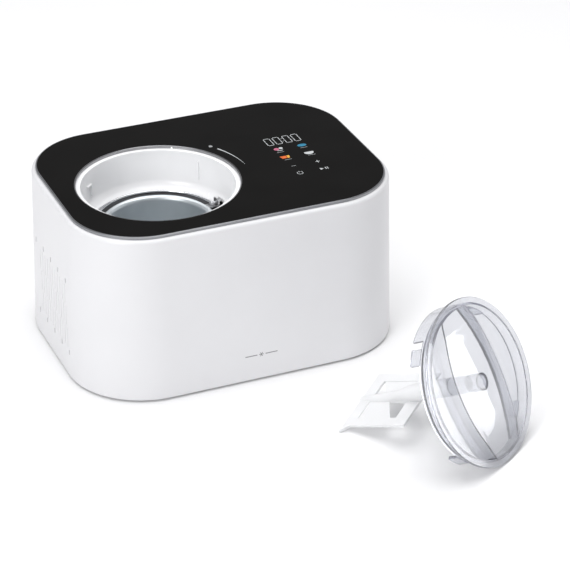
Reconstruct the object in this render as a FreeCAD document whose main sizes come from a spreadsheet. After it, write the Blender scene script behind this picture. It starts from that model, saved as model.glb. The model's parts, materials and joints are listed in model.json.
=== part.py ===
import FreeCAD, Part
import math
import os
import re
import Sketcher
from FreeCAD import Placement, Rotation, Vector

# Table-top ice cream maker with its own compressor: a white tapered housing, a black glass
# control panel with a round well, a removable bowl, and the clear lid with its paddle, which
# stand on the table in front of the machine's right-hand end.  Millimetres, +Z up, origin on
# the table at the middle of the whole set.

os.makedirs("parts", exist_ok=True)
doc = FreeCAD.newDocument("IceCreamMaker")

DRIVING = {
    # where the machine's plan centre stands in the row frame
    "machine_x": -25.235, "machine_y": 144.448,
    # housing
    "top_z": 208.3, "panel_w": 380.0, "panel_d": 278.2, "panel_r": 82.2,
    "glass_t": 3.4, "glass_drop": 0.15, "trim_w": 1.6,
    "shoulder_out": 5.0, "flare_out": 9.6, "shell_wall": 2.8, "shoulder_r": 4.4,
    "shell_z": 3.0, "base_t": 2.4, "deck_t": 2.8,
    # side vents
    "vent_pitch": 27.0, "vent_top": 123.5, "vent_low": 34.0, "vent_lean": 9.3,
    "slit_w": 0.9, "slit_len": 25.0, "slit_pitch": 9.0,
    # well
    "well_x": -69.45, "well_y": -15.13, "well_r": 95.05, "bezel_w": 1.5,
    "liner_r": 89.8, "liner_t": 2.3, "liner_inner_r": 80.0, "liner_drop": 52.0,
    # cooled chamber
    "cup_r": 62.6, "cup_t": 1.2, "cup_floor": 37.9, "sump_r": 17.0, "sump_floor": 24.5,
    "cup_rim": 155.0, "flange_r": 69.4, "foam_r": 86.0, "foam_in": 70.8, "foam_low": 22.0,
    "coil_tube": 3.0,
    # bowl
    "bowl_r": 61.4, "bowl_t": 0.9, "bowl_floor": 39.4, "bowl_rim": 158.3, "rim_r": 66.6,
    "bail_r": 73.0, "bail_wire": 1.6, "bail_z": 159.6, "ear_r": 79.0, "ear_t": 1.6,
    # drive
    "spindle": 4.0, "bowl_pin": 3.0, "bush_r": 7.0, "run": 0.05,
    "gear_mod": 2.0, "gear_teeth": 60, "pinion_teeth": 12,
    "first_mod": 1.25, "first_teeth": 48, "motor_teeth": 12,
    "gear_low": 8.2, "gear_face": 4.5, "first_low": 13.3, "first_face": 4.2,
    "box_low": 5.4, "box_floor": 2.0, "box_top": 21.0, "box_wall": 2.4,
    "motor_r": 20.0, "motor_len": 56.0, "motor_pin": 1.6, "drive_angle": 45.0,
    # refrigeration
    "comp_x": 85.0, "comp_y": -35.0, "comp_r": 50.0, "comp_low": 15.0, "comp_top": 140.0,
    "cond_x": 168.0, "cond_t": 20.0, "cond_w": 132.0, "cond_low": 26.0, "cond_high": 156.0,
    "tube_first": 13.0, "tube_pitch": 26.0,
    "fan_x": 148.0, "fan_t": 15.0, "fan_side": 92.0, "fan_hole": 43.0, "fan_z": 82.0,
    # lid and paddle
    "lid_x": 168.84, "lid_y": -374.4, "lid_azimuth": -55.81, "lid_tilt": 27.01,
    "lid_r": 94.3, "flange_t": 2.6, "pocket_r": 85.6, "lid_wall": 2.4, "pocket_drop": 11.2,
    "skirt_drop": 15.0, "deep_drop": 29.0, "grip_half": 43.0, "grip_end": 27.4, "crown": 4.0,
    "stub_r": 6.0, "paddle_turn": 11.6, "paddle_end": 166.6, "blade_lean": 8.5, "blade_t": 3.0,
    "web_t": 1.2, "blade_left": 45.0, "blade_right": 49.5, "blade_tip": 59.6, "blade_start": 85.0,
    "blade_foot": 166.3,
}

sheet = doc.addObject("Spreadsheet::Sheet", "Dims")
for row, (alias, number) in enumerate(DRIVING.items(), 1):
    sheet.set(f"A{row}", alias)
    sheet.set(f"B{row}", str(number))
    sheet.setAlias(f"B{row}", alias)
doc.recompute()

SUBPARTS = []


def bound(text):
    """The expression for a size written with the sheet's aliases."""
    return re.sub(r"[a-z]\w*", lambda m: "Dims." + m[0] if m[0] in DRIVING else m[0], str(text))


def size(text):
    """The number that such a size has now."""
    return float(sheet.evalExpression(bound(text)))


def place(item, at=(0, 0, 0), turn=Rotation()):
    """Put an object at a point given as three sizes, each bound to the sheet."""
    item.Placement = Placement(Vector(*[size(v) for v in at]), turn)
    for axis, text in zip("xyz", at):
        item.setExpression("Placement.Base." + axis, bound(text))
    return item


def solid(kind, name, sizes, at=(0, 0, 0), turn=Rotation()):
    """One Part primitive with its sizes bound to the sheet."""
    item = doc.addObject("Part::" + kind, name)
    for prop, text in sizes.items():
        item.setExpression(prop, bound(text))
    return place(item, at, turn)


def rod(name, radius, low, high, x=0, y=0):
    """An upright cylinder between two heights."""
    return solid("Cylinder", name, {"Radius": radius, "Height": f"({high}) - ({low})"}, (x, y, low))


def block(name, low, high):
    """A box between two corners."""
    sides = [f"({b}) - ({a})" for a, b in zip(low, high)]
    return solid("Box", name, dict(zip(("Length", "Width", "Height"), sides)), low)


def cut(name, base, *tools):
    """Base less the tools."""
    item = doc.addObject("Part::Cut", name)
    item.Base = base
    item.Tool = tools[0] if len(tools) == 1 else fuse(name + "Tools", *tools)
    return item


def fuse(name, *items):
    item = doc.addObject("Part::MultiFuse", name)
    item.Shapes = list(items)
    return item


def common(name, *items):
    item = doc.addObject("Part::MultiCommon", name)
    item.Shapes = list(items)
    return item


def group(name, *items):
    """Separate solids in one node."""
    item = doc.addObject("Part::Compound", name)
    item.Links = list(items)
    return item


def rounded(name, base, radius, chosen):
    """Base with the chosen edges rounded."""
    doc.recompute()
    item = doc.addObject("Part::Fillet", name)
    item.Base = base
    edges = [i + 1 for i, edge in enumerate(base.Shape.Edges) if chosen(edge)]
    item.Edges = [(i, size(radius), size(radius)) for i in edges]
    return item


def plane_of(body, role):
    return next(item for item in body.Origin.OriginFeatures if item.Role == role)


def sketch_on(body, name, role, offset="0"):
    """A sketch on one of the body's own origin planes, moved off it by an offset."""
    sketch = body.newObject("Sketcher::SketchObject", name)
    sketch.AttachmentSupport = (plane_of(body, role), [""])
    sketch.MapMode = "FlatFace"
    sketch.AttachmentOffset = Placement(Vector(0, 0, size(offset)), Rotation())
    sketch.setExpression("AttachmentOffset.Base.z", bound(offset))
    return sketch


def polygon(sketch, points):
    """A closed outline whose corners are bound to the sheet."""
    spots = [Vector(size(a), size(b), 0) for a, b in points]
    first = sketch.GeometryCount
    for start, end in zip(spots, spots[1:] + spots[:1]):
        sketch.addGeometry(Part.LineSegment(start, end), False)
    for i, (across, up) in enumerate(points):
        line = first + i
        after = first + (i + 1) % len(points)
        sketch.addConstraint(Sketcher.Constraint("Coincident", line, 2, after, 1))
        for kind, text in (("DistanceX", across), ("DistanceY", up)):
            made = sketch.addConstraint(Sketcher.Constraint(kind, -1, 1, line, 1, size(text)))
            sketch.setExpression(f"Constraints[{made}]", bound(text))


def circle(sketch, radius, across="0", up="0"):
    spot = Vector(size(across), size(up), 0)
    ring = sketch.addGeometry(Part.Circle(spot, Vector(0, 0, 1), size(radius)), False)
    for kind, text in (("DistanceX", across), ("DistanceY", up)):
        made = sketch.addConstraint(Sketcher.Constraint(kind, -1, 1, ring, 3, size(text)))
        sketch.setExpression(f"Constraints[{made}]", bound(text))
    made = sketch.addConstraint(Sketcher.Constraint("Radius", ring, size(radius)))
    sketch.setExpression(f"Constraints[{made}]", bound(radius))


def round_rect(sketch, width, depth, radius):
    """A rectangle with round corners about the sketch's origin."""
    half_w, half_d, r = size(width) / 2, size(depth) / 2, size(radius)
    corners = [(1, 1), (-1, 1), (-1, -1), (1, -1)]
    first = sketch.GeometryCount
    for turn, (sx, sy) in enumerate(corners):
        middle = Vector(sx * (half_w - r), sy * (half_d - r), 0)
        start = math.radians(90 * turn)
        ring = Part.Circle(middle, Vector(0, 0, 1), r)
        sketch.addGeometry(Part.ArcOfCircle(ring, start, start + math.pi / 2), False)
    for turn in range(4):
        here = sketch.getPoint(first + turn, 2)
        there = sketch.getPoint(first + (turn + 1) % 4, 1)
        sketch.addGeometry(Part.LineSegment(here, there), False)
    for turn in range(4):
        line = first + 4 + turn
        after = first + (turn + 1) % 4
        sketch.addConstraint(Sketcher.Constraint("Tangent", first + turn, 2, line, 1))
        sketch.addConstraint(Sketcher.Constraint("Tangent", line, 2, after, 1))
        if turn:
            sketch.addConstraint(Sketcher.Constraint("Equal", first, first + turn))
    sketch.addConstraint(Sketcher.Constraint("Horizontal", first + 4))
    sketch.addConstraint(Sketcher.Constraint("Vertical", first + 5))
    sketch.addConstraint(Sketcher.Constraint("Symmetric", first, 3, first + 2, 3, -1, 1))
    made = sketch.addConstraint(Sketcher.Constraint("Radius", first, r))
    sketch.setExpression(f"Constraints[{made}]", bound(radius))
    spans = (("DistanceX", first + 1, first, width), ("DistanceY", first + 2, first + 1, depth))
    for kind, low, high, text in spans:
        inner = f"({text}) - 2*({radius})"
        made = sketch.addConstraint(Sketcher.Constraint(kind, low, 3, high, 3, size(inner)))
        sketch.setExpression(f"Constraints[{made}]", bound(inner))


def padded(body, sketch, height):
    pad = body.newObject("PartDesign::Pad", sketch.Name + "Pad")
    pad.Profile = sketch
    pad.setExpression("Length", bound(height))
    body.Tip = pad
    return pad


def turned(name, *outlines):
    """A body of revolution about Z; each outline is a list of (radius, height)."""
    body = doc.addObject("PartDesign::Body", name)
    sketch = sketch_on(body, name + "Profile", "XZ_Plane")
    for outline in outlines:
        polygon(sketch, outline)
    spin = body.newObject("PartDesign::Revolution", name + "Turn")
    spin.Profile = sketch
    spin.ReferenceAxis = (sketch, ["V_Axis"])
    spin.Angle = 360
    body.Tip = spin
    return body


def tube(name, inner, outer, low, high):
    return turned(name, [(inner, low), (outer, low), (outer, high), (inner, high)])


def plate(name, width, depth, radius, low, high, *holes):
    """A flat rounded plate with round holes (radius, x, y)."""
    body = doc.addObject("PartDesign::Body", name)
    sketch = sketch_on(body, name + "Outline", "XY_Plane", low)
    round_rect(sketch, width, depth, radius)
    for hole in holes:
        circle(sketch, *hole)
    padded(body, sketch, f"({high}) - ({low})")
    return body


def feature(name, shape):
    """A piece whose outline comes from a formula rather than from a primitive."""
    item = doc.addObject("Part::Feature", name)
    item.Shape = shape
    return item


MACHINE = ("machine_x", "machine_y", "0")
WELL = ("machine_x + well_x", "machine_y + well_y", "0")


def keep(node, item, at=MACHINE, turn=Rotation()):
    """Name a finished sub-part and stand it in its place."""
    if not item.Placement.isIdentity():
        item = group(item.Name + "Placed", item)
    item.Label = node
    place(item, at, turn)
    SUBPARTS.append(item)
    return item


# ---- housing ---------------------------------------------------------------------------

DECK_Z = "top_z - glass_t"


def outer_shell():
    body = doc.addObject("PartDesign::Body", "OuterShell")
    levels = {}
    for tag, inset in (("Outer", "0"), ("Inner", "shell_wall")):
        for level, height, out in (
            ("Low", "shell_z", "flare_out"),
            ("High", DECK_Z if tag == "Outer" else DECK_Z + " - deck_t", "shoulder_out"),
        ):
            sketch = sketch_on(body, "Shell" + tag + level, "XY_Plane", height)
            grown = f"{out} - ({inset})"
            round_rect(sketch, f"panel_w + 2*({grown})", f"panel_d + 2*({grown})",
                       f"panel_r + {grown}")
            levels[tag + level] = sketch
    loft = body.newObject("PartDesign::AdditiveLoft", "ShellLoft")
    loft.Profile = levels["OuterLow"]
    loft.Sections = [levels["OuterHigh"]]
    loft.Ruled = True
    body.Tip = loft
    hollow = body.newObject("PartDesign::SubtractiveLoft", "ShellHollow")
    hollow.Profile = levels["InnerLow"]
    hollow.Sections = [levels["InnerHigh"]]
    hollow.Ruled = True
    body.Tip = hollow

    deck = sketch_on(body, "DeckOpenings", "XY_Plane", DECK_Z)
    circle(deck, "well_r + 3", "well_x", "well_y")
    polygon(deck, [("66", "-72"), ("146", "-72"), ("146", "52"), ("66", "52")])
    opening = body.newObject("PartDesign::Pocket", "DeckCut")
    opening.Profile = deck
    opening.Length = 10
    body.Tip = opening

    def vent_rows(name, slots, count, pitch):
        """Slots drawn once on the YZ plane, cut through both side walls and repeated."""
        sketch = sketch_on(body, name, "YZ_Plane")
        for y, z_low, z_high, wide in slots:
            left, right = f"({y}) - {wide}/2", f"({y}) + {wide}/2"
            polygon(sketch, [(left, z_low), (right, z_low), (right, z_high), (left, z_high)])
        pocket = body.newObject("PartDesign::Pocket", name + "Cut")
        pocket.Profile = sketch
        pocket.Midplane = True
        pocket.Length = 420
        body.Tip = pocket
        doc.recompute()
        rows = body.newObject("PartDesign::LinearPattern", name + "Rows")
        rows.Originals = [pocket]
        rows.Direction = (sketch, ["H_Axis"])
        rows.Occurrences = count
        rows.setExpression("Length", bound(f"{count - 1}*{pitch}"))
        body.Tip = rows
        doc.recompute()

    front = "-2*vent_pitch + 5"
    vent_rows("VentEnds", [
        (front, "vent_top - 3.2", "vent_top + 3.2", "2.6"),
        (front + " - vent_lean", "vent_low - 3.2", "vent_low + 3.2", "2.6"),
    ], 5, "vent_pitch")
    vent_rows("VentSlits", [
        (front + " + 5 - 0.2*vent_lean", "93", "93 + slit_len", "slit_w"),
        (front + " + 5 - 0.6*vent_lean", "66", "66 + slit_len", "slit_w"),
        (front + " + 5 - vent_lean", "39", "39 + slit_len", "slit_w"),
    ], 11, "slit_pitch")

    finished = body.Tip
    half_w, half_d = size("panel_w/2 + shoulder_out"), size("panel_d/2 + shoulder_out")
    names = []
    for i, edge in enumerate(finished.Shape.Edges, 1):
        at_top = min(v.Z for v in edge.Vertexes) > size(DECK_Z) - 0.01
        on_rim = all(abs(v.X) > half_w - 0.01 or abs(v.Y) > half_d - 0.01 for v in edge.Vertexes)
        if at_top and on_rim:
            names.append(f"Edge{i}")
    shoulder = body.newObject("PartDesign::Fillet", "ShellShoulder")
    shoulder.Base = (finished, names)
    shoulder.setExpression("Radius", bound("shoulder_r"))
    body.Tip = shoulder
    return body


BASE_TOP = "shell_z + base_t"


def four_ways(x, y):
    """A place and its mirror images about the machine's middle."""
    return [(sx * x, sy * y) for sx in (1, -1) for sy in (1, -1)]


BASE_SCREWS = four_ways(187, 40) + four_ways(95, 137)
FEET = four_ways(150, 102)


def shell_with_bosses():
    """Screw bosses stand on the base plate, each with a web that runs into the nearest wall."""
    bosses = []
    for i, (x, y) in enumerate(BASE_SCREWS):
        post = rod(f"BossPost{i}", "6", BASE_TOP, "24", x, y)
        reach = (math.copysign(10.6, x), 0) if abs(x) > 150 else (0, math.copysign(10.6, y))
        thick = (0, 1) if abs(x) > 150 else (1, 0)
        low = [min(at, at + out) - half for at, out, half in zip((x, y), reach, thick)]
        high = [max(at, at + out) + half for at, out, half in zip((x, y), reach, thick)]
        web = block(f"BossWeb{i}", (*low, BASE_TOP), (*high, "24"))
        pilot = rod(f"BossPilot{i}", "1.7", BASE_TOP, "18", x, y)
        bosses.append(cut(f"Boss{i}", fuse(f"BossSolid{i}", post, web), pilot))
    return fuse("ShellAndBosses", outer_shell(), *bosses)


def inlet_opening():
    return block("InletOpening", ("-136.3", "135", "31.7"), ("-103.7", "156", "56.3"))


keep("outer_shell", cut("ShellWithInlet", shell_with_bosses(), inlet_opening()))


def base_plate():
    shrink = "flare_out - shell_wall - 0.5"
    holes = [("1.9", str(x), str(y)) for x, y in BASE_SCREWS]
    holes += [("3.1", str(x), str(y)) for x, y in FEET]
    flat = plate("BaseSheet", f"panel_w + 2*({shrink})", f"panel_d + 2*({shrink})",
                 f"panel_r + {shrink}", "shell_z", BASE_TOP, *holes)
    slots = []
    for i in range(12):
        left = -40 + 12 * i
        slots.append(block(f"IntakeSlot{i}", (left, "-128", "shell_z"), (left + 4, "-108", BASE_TOP)))
    tab = block("FrontTab", ("18", "-144", "1"), ("30", "-136", "shell_z"))
    return fuse("BaseWithTab", cut("BaseSlotted", flat, *slots), tab)


keep("base_plate", base_plate())
keep("rubber_feet", group("Feet", *[
    fuse(f"Foot{i}", rod(f"FootPad{i}", "9", "0", "shell_z", x, y),
         rod(f"FootStem{i}", "3", "shell_z", BASE_TOP, x, y))
    for i, (x, y) in enumerate(FEET)]))
keep("base_screws", group("BaseScrews", *[
    fuse(f"BaseScrew{i}", rod(f"ScrewHead{i}", "3.6", "1.2", "shell_z", x, y),
         rod(f"ScrewShank{i}", "1.6", "shell_z", "17", x, y))
    for i, (x, y) in enumerate(BASE_SCREWS)]))

# ---- control panel ---------------------------------------------------------------------

keep("panel_glass", plate("PanelGlass", "panel_w - 2*trim_w", "panel_d - 2*trim_w",
                          "panel_r - trim_w", DECK_Z, "top_z - glass_drop",
                          ("well_r + bezel_w", "well_x", "well_y")))


def panel_trim():
    body = doc.addObject("PartDesign::Body", "PanelTrim")
    sketch = sketch_on(body, "TrimOutline", "XY_Plane", DECK_Z)
    round_rect(sketch, "panel_w", "panel_d", "panel_r")
    round_rect(sketch, "panel_w - 2*trim_w", "panel_d - 2*trim_w", "panel_r - trim_w")
    pad = padded(body, sketch, "glass_t")
    doc.recompute()
    half = size("panel_w/2") - 0.01
    names = []
    for i, edge in enumerate(pad.Shape.Edges, 1):
        box = edge.BoundBox
        outside = box.XMax > half or box.XMin < -half or max(abs(box.YMax), abs(box.YMin)) > \
            size("panel_d/2") - 0.01
        if outside and box.ZMin > size("top_z") - 0.01:
            names.append(f"Edge{i}")
    bevel = body.newObject("PartDesign::Chamfer", "TrimBevel")
    bevel.Base = (pad, names)
    bevel.Size = 0.7
    body.Tip = bevel
    return body


keep("panel_trim_ring", panel_trim())
keep("well_bezel", turned("WellBezel", [
    ("well_r", DECK_Z), ("well_r + bezel_w", DECK_Z), ("well_r + bezel_w", "top_z"),
    ("well_r + 0.5", "top_z"), ("well_r", "top_z - 0.5")]), WELL)

ICON_X = (90, 121)
ICON_Y = (10, -12, -37, -56.5)
keep("display_module", block("Display", ("76", "19", DECK_Z + " - 9"), ("136", "45", DECK_Z)))
keep("touch_board", block("TouchBoard", ("68", "-70", DECK_Z + " - 11"),
                          ("144", "50", DECK_Z + " - 9.4")))
keep("touch_springs", group("TouchSprings", *[
    cut(f"TouchSpring{i}", rod(f"SpringOuter{i}", "3.5", DECK_Z + " - 9.4", DECK_Z, x, y),
        rod(f"SpringBore{i}", "2.7", DECK_Z + " - 9.4", DECK_Z, x, y))
    for i, (x, y) in enumerate([(x, y) for y in ICON_Y for x in ICON_X])]))

# ---- well and cooled chamber -----------------------------------------------------------

LINER_EDGE = "top_z - liner_drop"


def turn_z(degrees):
    return Rotation(Vector(0, 0, 1), degrees)


def at_angle(radius, degrees, z="0"):
    turned_by = math.radians(degrees)
    return (f"({radius})*{math.cos(turned_by):.6f}", f"({radius})*{math.sin(turned_by):.6f}", z)


def side_block(name, angle, inner, outer, half_width, low, high):
    """A block that stands out from the well's axis at an angle."""
    item = doc.addObject("Part::Box", name)
    for prop, text in (("Length", f"({outer}) - ({inner})"), ("Width", f"2*({half_width})"),
                       ("Height", f"({high}) - ({low})")):
        item.setExpression(prop, bound(text))
    along = math.radians(angle)
    start = f"({inner})*{math.cos(along):.6f} + ({half_width})*{math.sin(along):.6f}"
    side = f"({inner})*{math.sin(along):.6f} - ({half_width})*{math.cos(along):.6f}"
    return place(item, (start, side, low), turn_z(angle))


LEDGE_Z = DECK_Z + " - 0.1"
EARS = (12, 192)
CATCHES = (132, 312)
GUIDE_RIBS = (38, 218)
SWITCH_ANGLE = 60


def well_liner():
    cup = turned("LinerCup", [
        ("liner_r", LEDGE_Z), ("well_r + 2.6", LEDGE_Z), ("well_r + 2.6", LEDGE_Z + " - 2.5"),
        ("liner_r + liner_t", LEDGE_Z + " - 2.5"), ("liner_r + liner_t", "166"),
        ("liner_r + 1.2", "161"), ("liner_r - 2.2", "157"), ("liner_inner_r + 2", LINER_EDGE + " - 2"),
        ("liner_inner_r", LINER_EDGE + " - 2"), ("liner_inner_r", LINER_EDGE),
        ("liner_inner_r + 3", LINER_EDGE + " + 0.5"), ("liner_r - 3.6", "159.6"),
        ("liner_r - 1", "163"), ("liner_r", "167")])
    extras = []
    root, tip = "liner_r + 0.6", "liner_r - 2.2"
    for i, angle in enumerate(CATCHES):
        extras.append(side_block(f"CatchStop{i}", angle, tip, root, "1", "171", "187"))
        extras.append(side_block(f"CatchLedge{i}", angle + 3, tip, root, "5", "185", "187"))
    for i, angle in enumerate(GUIDE_RIBS):
        extras.append(side_block(f"GuideRib{i}", angle, "liner_r - 1.4", root, "0.7", "172", "196"))
    pockets = []
    for i, angle in enumerate(EARS):
        pockets.append(side_block(f"EarPocket{i}", angle, "70", "87.2", "6.4", "150", "165"))
    hole = at_angle("liner_r + 4", SWITCH_ANGLE)
    pockets.append(rod("SwitchHole", "1.0 + run", "195", "210", hole[0], hole[1]))
    return cut("LinerCut", fuse("LinerRibbed", cup, *extras), *pockets)


keep("well_liner", well_liner(), WELL)
keep("chamber_gasket", tube("Gasket", "flange_r + 0.4", "85", "151.4", "153.4"), WELL)
keep("evaporator_cup", turned("EvaporatorCup", [
    ("8", "sump_floor"), ("sump_r + cup_t", "sump_floor"), ("sump_r + cup_t", "cup_floor"),
    ("cup_r + cup_t", "cup_floor"), ("cup_r + cup_t", "cup_rim - 2.4"), ("flange_r", "cup_rim - 2.4"),
    ("flange_r", "cup_rim"), ("cup_r", "cup_rim"), ("cup_r", "cup_floor + cup_t"),
    ("sump_r", "cup_floor + cup_t"), ("sump_r", "sump_floor + cup_t"),
    ("8", "sump_floor + cup_t")]), WELL)

COIL_R = "cup_r + cup_t + coil_tube + 0.1"


def evaporator_coil():
    rings = []
    for i in range(7):
        rings.append(solid("Torus", f"CoilRing{i}", {"Radius1": COIL_R, "Radius2": "coil_tube"},
                           ("0", "0", f"52 + {i}*14")))
    riser = at_angle(COIL_R, 200)
    rings.append(rod("CoilRiser", "coil_tube - 0.6", "52", "136", riser[0], riser[1]))
    return fuse("Coil", *rings)


keep("evaporator_coil", evaporator_coil(), WELL)

LINE_ANGLE = 20


def foam_jacket():
    foam = turned("FoamBody", [
        ("sump_r + cup_t + 0.5", "foam_low"), ("foam_r", "foam_low"), ("foam_r", "151.2"),
        ("foam_in", "151.2"), ("foam_in", "cup_floor - 0.2"), ("sump_r + cup_t + 0.5", "cup_floor - 0.2")])
    holes = []
    for i, z in enumerate((66, 108)):
        spot = at_angle("60", LINE_ANGLE, str(z))
        turn = Rotation(Vector(0, 0, 1), LINE_ANGLE).multiply(Rotation(Vector(0, 1, 0), 90))
        holes.append(solid("Cylinder", f"LineHole{i}", {"Radius": "4.6", "Height": "40"}, spot, turn))
    return cut("FoamCut", foam, *holes)


keep("foam_jacket", foam_jacket(), WELL)

# ---- bowl ------------------------------------------------------------------------------

BOWL_IN = "bowl_r - bowl_t"
keep("bowl", turned("Bowl", [
    ("9.05", "bowl_floor"), ("bowl_r - 8", "bowl_floor"), ("bowl_r - 3", "bowl_floor + 2"),
    ("bowl_r", "bowl_floor + 7"), ("bowl_r", "bowl_rim - 3.1"), ("rim_r - 0.6", "bowl_rim - 3.1"),
    ("rim_r", "bowl_rim - 2.5"), ("rim_r", "bowl_rim - 1"), ("rim_r - 0.8", "bowl_rim - 0.2"),
    ("rim_r - 2", "bowl_rim"), ("rim_r - 3.8", "bowl_rim - 0.7"), ("rim_r - 5.2", "bowl_rim - 2"),
    (BOWL_IN + " + 0.1", "bowl_rim - 3.8"), (BOWL_IN, "bowl_rim - 6"), (BOWL_IN, "bowl_floor + 7.4"),
    (BOWL_IN + " - 2.8", "bowl_floor + bowl_t + 2"), (BOWL_IN + " - 7.4", "bowl_floor + bowl_t"),
    ("9.05", "bowl_floor + bowl_t")]), WELL)


def handle_ears():
    """Two bent straps on the bowl's rim, each with an upright tab for the bail's end."""
    ears = []
    for i, angle in enumerate(EARS):
        strap = side_block(f"EarStrap{i}", angle, "rim_r", "ear_r + ear_t", "5", "155.8", "157.2")
        tab = side_block(f"EarTab{i}", angle, "ear_r", "ear_r + ear_t", "5", "155.8", "bail_z + 4.2")
        spot = at_angle("ear_r - 4", angle, "bail_z")
        turn = turn_z(angle).multiply(Rotation(Vector(0, 1, 0), 90))
        hole = solid("Cylinder", f"EarHole{i}", {"Radius": "bail_wire + run", "Height": "10"}, spot, turn)
        ears.append(cut(f"Ear{i}", fuse(f"EarSolid{i}", strap, tab), hole))
    return group("Ears", *ears)


keep("handle_ears", handle_ears(), WELL)


def bowl_handle():
    """A half ring of wire that lies behind the rim; its ends turn outwards through the ears."""
    ring = solid("Torus", "BailRing", {"Radius1": "bail_r", "Radius2": "bail_wire - 0.1", "Angle3": "180"},
                 ("0", "0", "bail_z"), turn_z(EARS[0]))
    ends = [ring]
    for i, angle in enumerate(EARS):
        turn = turn_z(angle).multiply(Rotation(Vector(0, 1, 0), 90))
        ends.append(solid("Cylinder", f"BailEnd{i}", {"Radius": "bail_wire", "Height": "85.5 - bail_r"},
                          at_angle("bail_r", angle, "bail_z"), turn))
        ends.append(solid("Cylinder", f"BailCap{i}", {"Radius": "bail_wire + 0.9", "Height": "2"},
                          at_angle("ear_r + ear_t + 0.4", angle, "bail_z"), turn))
        ends.append(solid("Sphere", f"BailBend{i}", {"Radius": "bail_wire + 0.3"},
                          at_angle("bail_r", angle, "bail_z")))
    return fuse("Bail", *ends)


keep("bowl_handle", bowl_handle(), WELL)
keep("bowl_bush", turned("BowlBush", [
    ("bowl_pin + run", "bowl_floor - 3.6"), ("9", "bowl_floor - 3.6"), ("9", "bowl_floor + bowl_t"),
    ("bowl_pin + run", "bowl_floor + bowl_t")]), WELL)


def flatted(name, radius, low, high, flat_low, flat):
    """A round pin with one flat near its top."""
    pin = rod(name + "Round", radius, low, high)
    side = block(name + "Flat", (flat, "-10", flat_low), ("10", "10", f"({high}) + 1"))
    return cut(name, pin, side)


keep("bowl_shaft", flatted("BowlShaft", "bowl_pin", "32.8", "54", "42.5", "2"), WELL)

DOGS = 3


def dog_ring(name, disc_low, disc_high, dog_low, dog_high, first_angle, bore):
    """A coupling half: a disc with three dogs that reach between the other half's dogs."""
    pieces = [rod(name + "Disc", "12.4", disc_low, disc_high)]
    for i in range(DOGS):
        angle = first_angle + i * 360 / DOGS
        pieces.append(side_block(f"{name}Dog{i}", angle, "6", "11.6", "2.6", dog_low, dog_high))
    return cut(name, fuse(name + "Solid", *pieces), rod(name + "Bore", bore, "20", "40"))


keep("bowl_coupler", dog_ring("BowlCoupler", "32.6", "35.2", "28.9", "32.8", 60, "bowl_pin"), WELL)

# ---- drive -----------------------------------------------------------------------------

keep("drive_coupling", dog_ring("DriveCoupling", "26.2", "28.4", "28.2", "32.2", 0, "spindle"), WELL)
keep("drive_spindle", rod("DriveSpindle", "spindle", "7.8", "28.4"), WELL)

CENTRES = "gear_mod*(gear_teeth + pinion_teeth)/2"
FIRST_CENTRES = "first_mod*(first_teeth + motor_teeth)/2"
DRIVE_ANGLE = size("drive_angle")


def on_drive_line(distance):
    spot = at_angle(distance, DRIVE_ANGLE)
    return ("machine_x + well_x + " + spot[0], "machine_y + well_y + " + spot[1], "0")


IDLER = on_drive_line(CENTRES)
MOTOR = on_drive_line(CENTRES + " + " + FIRST_CENTRES)
PRESSURE = math.radians(20)


def gear_shape(module, teeth, bore, low, face, tooth_at):
    """A spur gear with involute flanks, stub tips and a little backlash.

    tooth_at is the angle, in degrees, of the middle of one tooth.
    """
    pitch_r = module * teeth / 2
    base_r = pitch_r * math.cos(PRESSURE)
    tip_r = pitch_r + 0.7 * module
    root_r = pitch_r - 1.0 * module
    backlash = 0.05 * module

    def half_width(radius):
        """Half the tooth's angle at a radius."""
        def involute(r):
            steep = math.acos(min(1.0, base_r / r))
            return math.tan(steep) - steep
        at_pitch = math.pi / (2 * teeth) - backlash / pitch_r
        return at_pitch + involute(pitch_r) - involute(max(radius, base_r))

    steps = [root_r] + [max(base_r, root_r) + (tip_r - max(base_r, root_r)) * i / 3 for i in range(4)]
    if base_r < root_r:
        steps = steps[1:]
    corners = []
    for tooth in range(teeth):
        middle = math.radians(tooth_at) + 2 * math.pi * tooth / teeth
        for side, radii in ((-1, steps), (1, reversed(steps))):
            for r in radii:
                angle = middle + side * half_width(r)
                corners.append(Vector(r * math.cos(angle), r * math.sin(angle), low))
    outline = Part.makePolygon(corners + corners[:1])
    blank = Part.Face(outline).extrude(Vector(0, 0, face))
    return blank.cut(Part.makeCylinder(bore, face + 2, Vector(0, 0, low - 1)))


def meshed(teeth, towards):
    """A tooth angle that puts a gap, not a tooth, on the line to the other gear."""
    return towards + 180 / teeth


GEAR_TEETH = int(size("gear_teeth"))
PINION_TEETH = int(size("pinion_teeth"))
FIRST_TEETH = int(size("first_teeth"))
MOTOR_TEETH = int(size("motor_teeth"))


def drive_gear():
    rim = gear_shape(size("gear_mod"), GEAR_TEETH, size("spindle"), size("gear_low"),
                     size("gear_face"), DRIVE_ANGLE)
    hub = Part.makeCylinder(11, 3.4, Vector(0, 0, size("gear_low + gear_face")))
    shape = rim.fuse(hub)
    for i in range(6):
        angle = math.radians(30 + 60 * i)
        spot = Vector(33 * math.cos(angle), 33 * math.sin(angle), size("gear_low") - 1)
        shape = shape.cut(Part.makeCylinder(11.5, size("gear_face") + 2, spot))
    bore = Part.makeCylinder(size("spindle"), 40, Vector(0, 0, 0))
    return feature("DriveGear", shape.cut(bore).removeSplitter())


keep("drive_gear", drive_gear(), WELL)


def idler_gear():
    pin = size("2 + run")
    small = gear_shape(size("gear_mod"), PINION_TEETH, pin, size("gear_low"),
                       size("first_low - gear_low"), meshed(PINION_TEETH, DRIVE_ANGLE + 180))
    large = gear_shape(size("first_mod"), FIRST_TEETH, pin, size("first_low"), size("first_face"),
                       DRIVE_ANGLE)
    return feature("IdlerGear", small.fuse(large).removeSplitter())


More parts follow.
